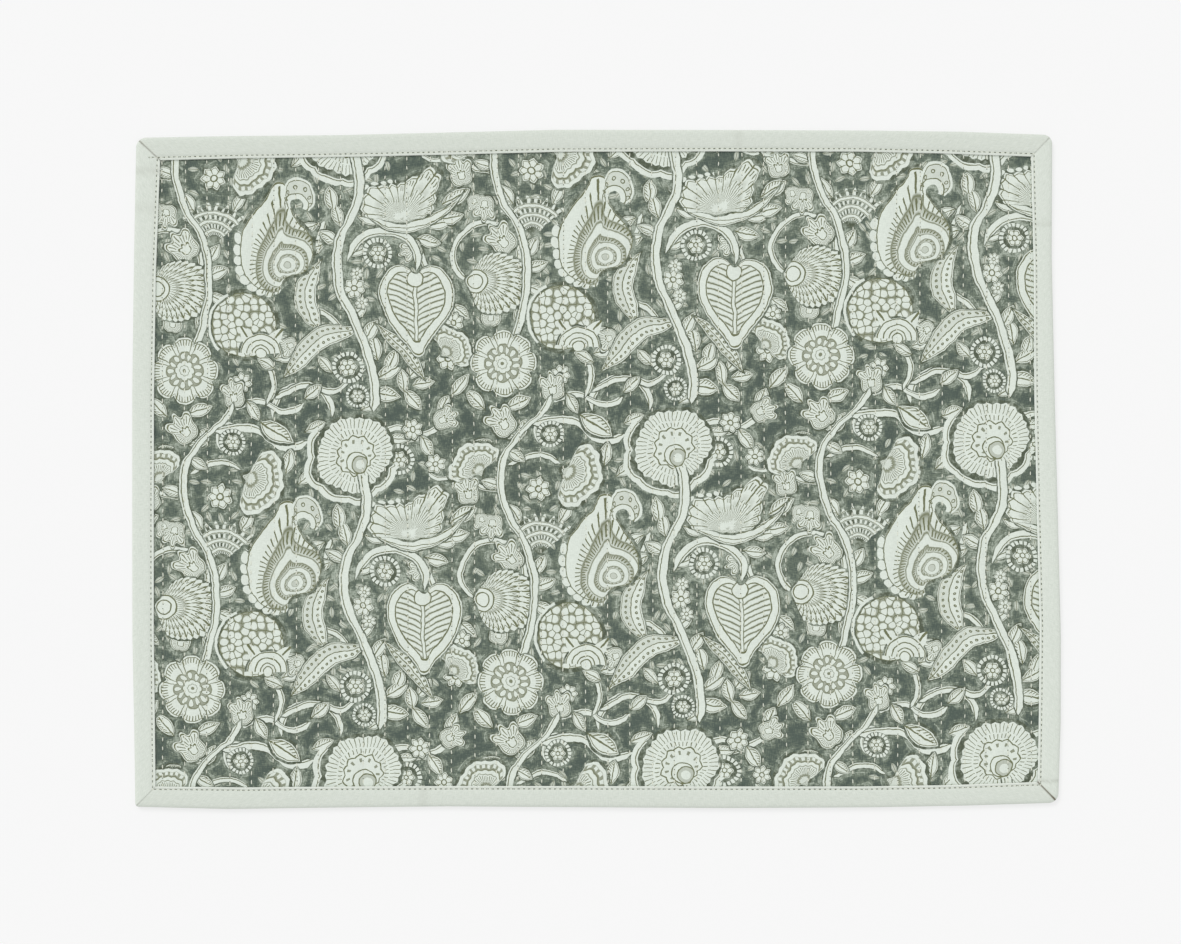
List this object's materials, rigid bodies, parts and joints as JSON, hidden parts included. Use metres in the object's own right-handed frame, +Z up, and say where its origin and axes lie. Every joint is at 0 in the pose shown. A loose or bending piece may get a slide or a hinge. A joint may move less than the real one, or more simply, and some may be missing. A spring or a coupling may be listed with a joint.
{
  "type": "quilted placemat",
  "caption": "Rectangular quilted cotton placemat, its centre sewn through in close upright rows and its edges bound in plain folded strips that meet in mitred corners",
  "frame": {"origin": "on the table, under the middle of the mat's bounding box", "axes": "+X along the long side, to the right in the picture; +Y along the short side, up in the picture; +Z up, out of the printed face"},
  "size_m": [0.4835, 0.3537, 0.004],
  "materials": {
    "printed_cotton": "block-printed plain-weave cotton, pale trailing floral on a mottled dark grey-green ground, matt",
    "binding_cotton": "plain pale grey-green woven cotton, matt"
  },
  "bodies": {
    "root": {"quilted_panel": "printed_cotton", "binding_top": "binding_cotton", "binding_bottom": "binding_cotton", "binding_left": "binding_cotton", "binding_right": "binding_cotton"}
  },
  "joints": []
}
